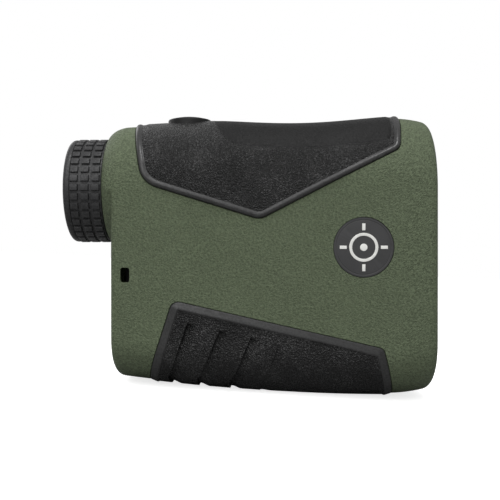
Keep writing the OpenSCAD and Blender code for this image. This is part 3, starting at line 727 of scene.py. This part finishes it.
def make_bezel():
    """The plate between the two lens tubes: flat face, softened edge, and a port cut through it for each
    tube.
    """
    phis = side_angles()
    around = np.concatenate([phis, -phis[-2:0:-1]])
    rows = []
    for x, e in ((BEZEL_X, -MOUTH - 0.12), (BEZEL_X + BEZEL_T - 0.3, -MOUTH - 0.12),
                 (BEZEL_X + BEZEL_T - 0.08, -MOUTH - 0.22), (BEZEL_X + BEZEL_T, -MOUTH - 0.5)):
        r = reach(min(x, 46.0), around, e)
        rows.append(np.stack([np.full(len(around), x), r * np.sin(around), OPTIC_Z + r * np.cos(around)], 1))
    n = len(around)
    faces = grid_faces(4, n, close_cols=True) + [tuple(range(n - 1, -1, -1)), tuple(range(3 * n, 4 * n))]
    obj = make("bezel_front", np.vstack(rows), faces)
    return cut(obj, plug("port_top", OBJECTIVE_R + 0.06, 40, 50, (0, 0, OPTIC_Z), "X", 128),
               plug("port_low", LASER_R + 0.06, 40, 50, (0, 0, LASER_Z), "X", 128))


def make_retainer(name, r, x, z):
    """A threaded ring that holds a lens, with two spanner notches."""
    ring = turned(name, ((x, r - 1.3, 0.05), (x, r, 0), (x + 1.6, r, 0.1), (x + 1.6, r - 0.7, 0.1),
                         (x + 0.5, r - 1.3, 0.1)), (0, 0, z), "X", 128, 30)
    slots = [pill("spanner_slot", (x + 1.1, y - 0.9, z - 0.4), (x + 3, y + 0.9, z + 0.4), 0.1)
             for y in (-r + 0.5, r - 0.5)]
    return cut(ring, *slots)


# ---------------------------------------------------------------- materials

def material(name, rgb, rough, spec=0.5, metal=0.0, **extra):
    """A principled material, its node tree, its shader, and object coordinates in millimetres."""
    mat = bpy.data.materials.new(name)
    mat.use_nodes = True
    nodes, links = mat.node_tree.nodes, mat.node_tree.links
    shader = nodes["Principled BSDF"]
    shader.inputs["Base Color"].default_value = (*rgb, 1)
    shader.inputs["Roughness"].default_value = rough
    shader.inputs["Specular IOR Level"].default_value = spec
    shader.inputs["Metallic"].default_value = metal
    for key, value in extra.items():
        shader.inputs[key.replace("_", " ")].default_value = value
    coord = nodes.new("ShaderNodeTexCoord")
    scale = nodes.new("ShaderNodeMapping")
    scale.inputs["Scale"].default_value = (1000, 1000, 1000)
    links.new(coord.outputs["Object"], scale.inputs["Vector"])
    return mat, nodes, links, shader, scale.outputs["Vector"]


def noise(nodes, links, where, size, detail=2.0, stretch=None, turn=0.0, rough=0.5):
    """Noise with features about size millimetres across; stretch and turn (about Y) make it run one way."""
    node = nodes.new("ShaderNodeTexNoise")
    node.inputs["Scale"].default_value = 1 / size
    node.inputs["Detail"].default_value = detail
    node.inputs["Roughness"].default_value = rough
    if stretch:
        rot = nodes.new("ShaderNodeMapping")
        rot.inputs["Rotation"].default_value = (0, math.radians(turn), 0)
        wide = nodes.new("ShaderNodeMapping")
        wide.inputs["Scale"].default_value = stretch
        links.new(where, rot.inputs["Vector"])
        links.new(rot.outputs["Vector"], wide.inputs["Vector"])
        where = wide.outputs["Vector"]
    links.new(where, node.inputs["Vector"])
    return node.outputs["Fac"]


def cells(nodes, links, where, size, feature="F1"):
    node = nodes.new("ShaderNodeTexVoronoi")
    node.feature = feature
    node.inputs["Scale"].default_value = 1 / size
    links.new(where, node.inputs["Vector"])
    return node.outputs["Distance"]


def blend(nodes, links, a, b, kind="ADD"):
    node = nodes.new("ShaderNodeMath")
    node.operation = kind
    for socket, value in zip(node.inputs, (a, b)):
        if isinstance(value, (int, float)):
            socket.default_value = value
        else:
            links.new(value, socket)
    return node.outputs[0]


def ramp(nodes, links, fac, stops):
    node = nodes.new("ShaderNodeValToRGB")
    while len(node.color_ramp.elements) < len(stops):
        node.color_ramp.elements.new(0.5)
    for element, (at, colour) in zip(node.color_ramp.elements, stops):
        element.position = at
        element.color = (*colour, 1) if len(colour) == 3 else colour
    links.new(fac, node.inputs["Fac"])
    return node.outputs["Color"]


def grey(v):
    return (v, v, v)


def bump_from(nodes, links, shader, height, distance, strength=1.0):
    node = nodes.new("ShaderNodeBump")
    node.inputs["Distance"].default_value = distance * MM
    node.inputs["Strength"].default_value = strength
    links.new(height, node.inputs["Height"])
    links.new(node.outputs["Normal"], shader.inputs["Normal"])


def painted_edge_highlight(nodes, links, colour, edge_highlight_rgb, amount=0.35):
    """Lightens a colour along outward edges, as a painted highlight."""
    # Painted highlight: the colour is lightened on outward edges, found by pointiness, where a rounded edge
    # would catch the light.
    geo = nodes.new("ShaderNodeNewGeometry")
    edge_highlight_mask = ramp(nodes, links, geo.outputs["Pointiness"], ((0.52, grey(0)), (0.6, grey(amount))))
    mix = nodes.new("ShaderNodeMix")
    mix.data_type = "RGBA"
    links.new(edge_highlight_mask, mix.inputs["Factor"])
    links.new(colour, mix.inputs["A"])
    mix.inputs["B"].default_value = (*edge_highlight_rgb, 1)
    return mix.outputs["Result"]


def tint(rgb, k):
    return tuple(c * k for c in rgb)


def housing_material():
    """Olive moulded plastic with a fine leather-like wrinkle that runs up to the left."""
    rgb = (0.094, 0.117, 0.07)
    mat, nodes, links, shader, where = material("housing", rgb, 0.6, 0.2)
    broad = noise(nodes, links, where, 14, 3)
    wrinkle = noise(nodes, links, where, 0.5, 2, (1.0, 1.0, 1.8), 38, 0.6)
    pebble = cells(nodes, links, where, 0.55, "SMOOTH_F1")
    height = blend(nodes, links, wrinkle, blend(nodes, links, pebble, 0.4, "MULTIPLY"))
    # Painted shade and highlight: besides a broad random tone, the colour follows the wrinkle's height,
    # darker in its creases and lighter on its crests.
    tone_and_painted_grain_shading = blend(nodes, links, blend(nodes, links, broad, 0.15, "MULTIPLY"), height)
    colour = ramp(nodes, links, tone_and_painted_grain_shading, ((0.56, tint(rgb, 0.72)), (0.72, rgb), (0.88, tint(rgb, 1.32))))
    # Painted highlight along the housing's outward edges.
    links.new(painted_edge_highlight(nodes, links, colour, tint(rgb, 1.5)), shader.inputs["Base Color"])
    links.new(ramp(nodes, links, wrinkle, ((0.3, grey(0.68)), (0.7, grey(0.52)))), shader.inputs["Roughness"])
    bump_from(nodes, links, shader, height, 0.38)
    return mat


def rubber_material(name, rgb, grain, depth, rough, spec, sparkle=False):
    """Moulded rubber, its colour darker in the grain's hollows and lighter on its crests as painted shade and
    highlight; sparkle gives it the coarse grain of a spark-eroded mould, with small bright points painted in
    as glints.
    """
    mat, nodes, links, shader, where = material(name, rgb, rough, spec)
    broad = noise(nodes, links, where, 9, 3)
    speck = noise(nodes, links, where, grain, 2, rough=0.6)
    # Painted shade and highlight: besides a broad random tone, the colour follows the grain's height, darker
    # in its hollows and lighter on its crests.
    tone_and_painted_grain_shading = blend(nodes, links, blend(nodes, links, broad, 0.3, "MULTIPLY"),
                 blend(nodes, links, speck, 0.7, "MULTIPLY"))
    # Painted glints: with sparkle the lightest grain points are made nine times the base colour; without it,
    # 1.2 times.
    painted_glint_gain = 9 if sparkle else 1.2
    colour = ramp(nodes, links, tone_and_painted_grain_shading, ((0.4, tint(rgb, 0.6)), (0.52, rgb), (0.62, tint(rgb, painted_glint_gain))))
    # Painted highlight along the rubber's outward edges.
    links.new(painted_edge_highlight(nodes, links, colour, tint(rgb, 2.2), 0.3), shader.inputs["Base Color"])
    links.new(ramp(nodes, links, speck, ((0.35, grey(rough + 0.1)), (0.65, grey(rough - 0.1)))),
              shader.inputs["Roughness"])
    height = speck
    if sparkle:
        pits = cells(nodes, links, where, grain * 1.3)
        height = blend(nodes, links, speck, blend(nodes, links, pits, 0.5, "MULTIPLY"))
    bump_from(nodes, links, shader, height, depth)
    return mat


def plain_material(name, rgb, rough, spec=0.5, metal=0.0, size=1.2, depth=0.02, **extra):
    """Moulded plastic or metal: slight colour and gloss variation and a fine skin."""
    mat, nodes, links, shader, where = material(name, rgb, rough, spec, metal, **extra)
    broad = noise(nodes, links, where, size * 5, 3)
    colour = ramp(nodes, links, broad, ((0.3, tint(rgb, 0.9)), (0.7, tint(rgb, 1.1))))
    # Painted highlight along the outward edges.
    links.new(painted_edge_highlight(nodes, links, colour, tint(rgb, 1.5), 0.25), shader.inputs["Base Color"])
    skin = noise(nodes, links, where, size * 0.2, 3)
    links.new(ramp(nodes, links, skin, ((0.3, grey(max(rough - 0.05, 0.02))), (0.7, grey(rough + 0.06)))),
              shader.inputs["Roughness"])
    bump_from(nodes, links, shader, skin, depth)
    return mat


def glass_material(name, rgb, coat):
    """Coated glass: clear, with a coloured coating that varies a little over it."""
    mat, nodes, links, shader, where = material(name, rgb, 0.02, 0.6)
    shader.inputs["Transmission Weight"].default_value = 0.85
    shader.inputs["IOR"].default_value = 1.52
    shader.inputs["Coat Weight"].default_value = 0.6
    shader.inputs["Coat Tint"].default_value = (*coat, 1)
    colour = ramp(nodes, links, noise(nodes, links, where, 20, 1), ((0.3, tint(rgb, 0.94)), (0.7, rgb)))
    links.new(colour, shader.inputs["Base Color"])
    smear = noise(nodes, links, where, 3, 2)
    links.new(ramp(nodes, links, smear, ((0.4, grey(0.015)), (0.75, grey(0.06)))), shader.inputs["Roughness"])
    return mat


SLOTS = {
    "housing": housing_material(),
    "grip_rubber": rubber_material("grip_rubber", (0.005, 0.005, 0.005), 0.38, 0.55, 0.3, 0.32, sparkle=True),
    "ring_rubber": rubber_material("ring_rubber", (0.03, 0.03, 0.031), 0.5, 0.03, 0.45, 0.3),
    "seal_rubber": rubber_material("seal_rubber", (0.01, 0.01, 0.01), 0.6, 0.02, 0.55, 0.3),
    "button_plastic": plain_material("button_plastic", (0.012, 0.012, 0.012), 0.5, 0.2, depth=0.05),
    "badge_plastic": plain_material("badge_plastic", (0.046, 0.046, 0.047), 0.55, 0.3),
    "mark_ink": plain_material("mark_ink", (0.72, 0.72, 0.69), 0.6, 0.3),
    "black_plastic": plain_material("black_plastic", (0.012, 0.012, 0.013), 0.55, 0.35),
    "coated_glass": glass_material("coated_glass", (0.82, 0.95, 0.98), (0.55, 0.75, 1.0)),
    "prism_glass": glass_material("prism_glass", (0.9, 0.97, 0.98), (0.9, 0.95, 1.0)),
    "display_glass": glass_material("display_glass", (0.85, 0.9, 0.88), (0.8, 0.9, 0.85)),
    "steel": plain_material("steel", (0.5, 0.51, 0.52), 0.32, 0.5, 1.0, 1.0, 0.01),
    "spring_steel": plain_material("spring_steel", (0.56, 0.57, 0.58), 0.3, 0.5, 1.0, 1.0, 0.01),
    "contact_brass": plain_material("contact_brass", (0.7, 0.5, 0.22), 0.3, 0.5, 1.0, 1.0, 0.01),
    "circuit_board": plain_material("circuit_board", (0.015, 0.1, 0.04), 0.35),
    "chip_plastic": plain_material("chip_plastic", (0.018, 0.018, 0.02), 0.5),
    "cell_wrap": plain_material("cell_wrap", (0.5, 0.51, 0.53), 0.3),
    "plunger_red": plain_material("plunger_red", (0.4, 0.04, 0.025), 0.4)}
BEAD_RUBBER = rubber_material("bead_rubber", (0.03, 0.03, 0.03), 0.5, 0.02, 0.38, 0.35)
REST_RUBBER = rubber_material("rest_rubber", (0.007, 0.007, 0.007), 0.38, 0.2, 0.5, 0.17)


# ---------------------------------------------------------------- assembly

def fit(obj, body, slot, *nodes, zones=()):
    """Finishes a piece and its zones, puts it on its body and lets it stand for its CAD nodes."""
    for mat in (SLOTS[slot], *zones):
        obj.data.materials.append(mat)
    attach(obj, body)
    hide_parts(*nodes)


for side, word in ((-1, "right"), (1, "left")):
    fit(cut_shell(make_shell(side), side), "housing", "housing", word + "_shell")
    fit(badge(side), "housing", "badge_plastic", word + "_badge")
    fit(mark(side), "housing", "mark_ink", word + "_mark")
fit(make_top_grip(), "housing", "grip_rubber", "top_grip", zones=(BEAD_RUBBER, REST_RUBBER))
fit(make_bottom_grip(), "housing", "grip_rubber", "bottom_grip", zones=(BEAD_RUBBER,))
fit(make_bezel(), "housing", "black_plastic", "front_bezel")
fit(make_retainer("retainer_objective", 12.9, 44.65, OPTIC_Z), "housing", "black_plastic",
    "objective_retainer")
fit(make_retainer("retainer_laser", 9.7, 44.3, LASER_Z), "housing", "black_plastic", "laser_retainer")
fit(make_focus_ring(), "focus_ring", "ring_rubber", "focus_ring")
fit(make_eyecup(), "focus_ring", "ring_rubber", "eyecup")
fit(make_power_button(), "power_button", "button_plastic", "power_button")
fit(make_mode_button(), "mode_button", "button_plastic", "mode_button")
fit(make_door(), "battery_door", "housing", "battery_door")

node_slots = {part["node"]: part["material_slot"] for part in frame["record"]["subparts"]}
for name, node in frame["nodes"].items():
    if not node.hide_render:
        node.data.materials.clear()
        node.data.materials.append(SLOTS[node_slots[name]])


# ---------------------------------------------------------------- floor, light and camera

SKY = 0.45
FAR = 1500
floor = make("floor", [(-FAR, -FAR, 0), (FAR, -FAR, 0), (FAR, FAR, 0), (-FAR, FAR, 0)], [(0, 1, 2, 3)])
floor.rotation_euler = (0, math.atan(SOLE_RISE), 0)
floor.location = (SOLE_X * MM, 0, 0)
floor_paint, nodes, links, seen, where = material("floor", (0.92, 0.92, 0.92), 0.8, 0.0)
seen.inputs["Emission Color"].default_value = (1, 1, 1, 1)
seen.inputs["Emission Strength"].default_value = 0.75
links.new(ramp(nodes, links, noise(nodes, links, where, 60), ((0, grey(0.91)), (1, grey(0.93)))),
          seen.inputs["Base Color"])
lit, mix, path = (nodes.new("ShaderNode" + kind) for kind in ("BsdfDiffuse", "MixShader", "LightPath"))
lit.inputs["Color"].default_value = (0.35, 0.35, 0.35, 1)
links.new(path.outputs["Is Camera Ray"], mix.inputs[0])
links.new(lit.outputs[0], mix.inputs[1])
links.new(seen.outputs[0], mix.inputs[2])
links.new(mix.outputs[0], nodes["Material Output"].inputs["Surface"])
floor.data.materials.append(floor_paint)

world = bpy.data.worlds.new("world")
world.use_nodes = True
sky, ground = world.node_tree.nodes["Background"], world.node_tree.nodes.new("ShaderNodeBackground")
mix, path = world.node_tree.nodes.new("ShaderNodeMixShader"), world.node_tree.nodes.new("ShaderNodeLightPath")
sky.inputs["Color"].default_value = (1, 1, 1, 1)
sky.inputs["Strength"].default_value = SKY
ground.inputs["Color"].default_value = (1, 1, 1, 1)
world.node_tree.links.new(path.outputs["Is Camera Ray"], mix.inputs[0])
world.node_tree.links.new(sky.outputs[0], mix.inputs[1])
world.node_tree.links.new(ground.outputs[0], mix.inputs[2])
world.node_tree.links.new(mix.outputs[0], world.node_tree.nodes["World Output"].inputs["Surface"])
bpy.context.scene.world = world
bpy.context.scene.view_settings.view_transform = "Standard"


def lamp(name, at, aim, size, power):
    """A soft square lamp at one point, aimed at another (metres)."""
    data = bpy.data.lights.new(name, "AREA")
    data.size = size
    data.energy = power
    obj = bpy.data.objects.new(name, data)
    bpy.context.collection.objects.link(obj)
    obj.location = at
    obj.rotation_euler = (Vector(aim) - Vector(at)).to_track_quat("-Z", "Y").to_euler()


lamp("key", (-0.16, -0.52, 0.42), (0, 0, 0.04), 0.5, 2.1)
lamp("overhead", (0.05, -0.2, 0.6), (0, 0, 0.05), 0.2, 1.7)
lamp("rear_fill", (-0.5, 0.45, 0.35), (0, 0, 0.04), 0.6, 1.6)

aim = Vector((0.0003, 0, 0.0406))
away, swing = 0.2185, math.radians(1.5)
camera_data = bpy.data.cameras.new("camera")
camera_data.lens = 55
camera_data.sensor_width = 36
camera_data.clip_start = 0.01
camera = bpy.data.objects.new("camera", camera_data)
bpy.context.collection.objects.link(camera)
camera.location = aim + away * Vector((math.sin(swing), -math.cos(swing), 0))
camera.rotation_euler = (aim - camera.location).to_track_quat("-Z", "Y").to_euler()
bpy.context.scene.camera = camera
